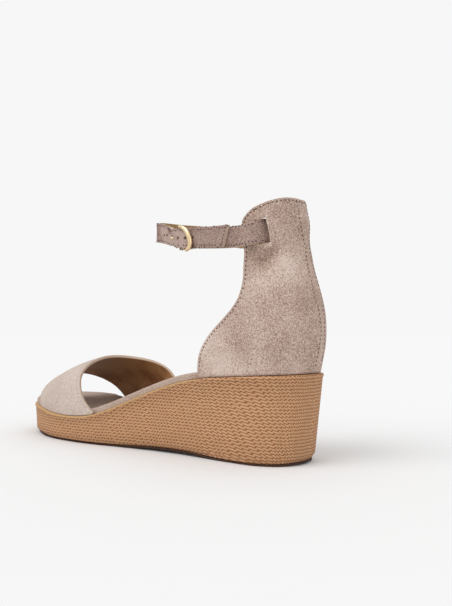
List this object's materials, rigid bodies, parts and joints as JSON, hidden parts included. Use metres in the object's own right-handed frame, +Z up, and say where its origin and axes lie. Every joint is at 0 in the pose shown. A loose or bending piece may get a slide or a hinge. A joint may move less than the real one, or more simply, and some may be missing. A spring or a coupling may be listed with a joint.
{
  "type": "wedge sandal",
  "caption": "Left-foot platform sandal with a braid-wrapped wedge, open-toed suede vamp, closed high heel counter and a buckled ankle strap.",
  "frame": {"origin": "middle of the whole shoe's box, on the floor under its sole", "axes": "+Z up, the toe points to -Y and the heel to +Y, the outer side of the left foot is +X"},
  "size_m": [0.0802, 0.2524, 0.1527],
  "materials": {
    "outsole_rubber": "matt tan rubber sheet",
    "wedge_braid": "tan twisted-cord braid round the wedge, smooth band at its rim",
    "footbed_suede": "pale suede over a thin pad",
    "vamp_suede": "pale rose-grey suede, smooth brown lining",
    "counter_suede": "rose-taupe suede with a lapped, stitched back seam",
    "strap_suede": "rose-taupe suede strip, smooth tan lining, stitched edges",
    "buckle_gilt": "polished pale gold plate"
  },
  "bodies": {
    "root": {"outsole": "outsole_rubber", "wedge": "wedge_braid", "footbed": "footbed_suede", "vamp": "vamp_suede", "heel_counter": "counter_suede", "ankle_strap": "strap_suede", "buckle_ring": "buckle_gilt", "buckle_prong": "buckle_gilt"}
  },
  "joints": []
}
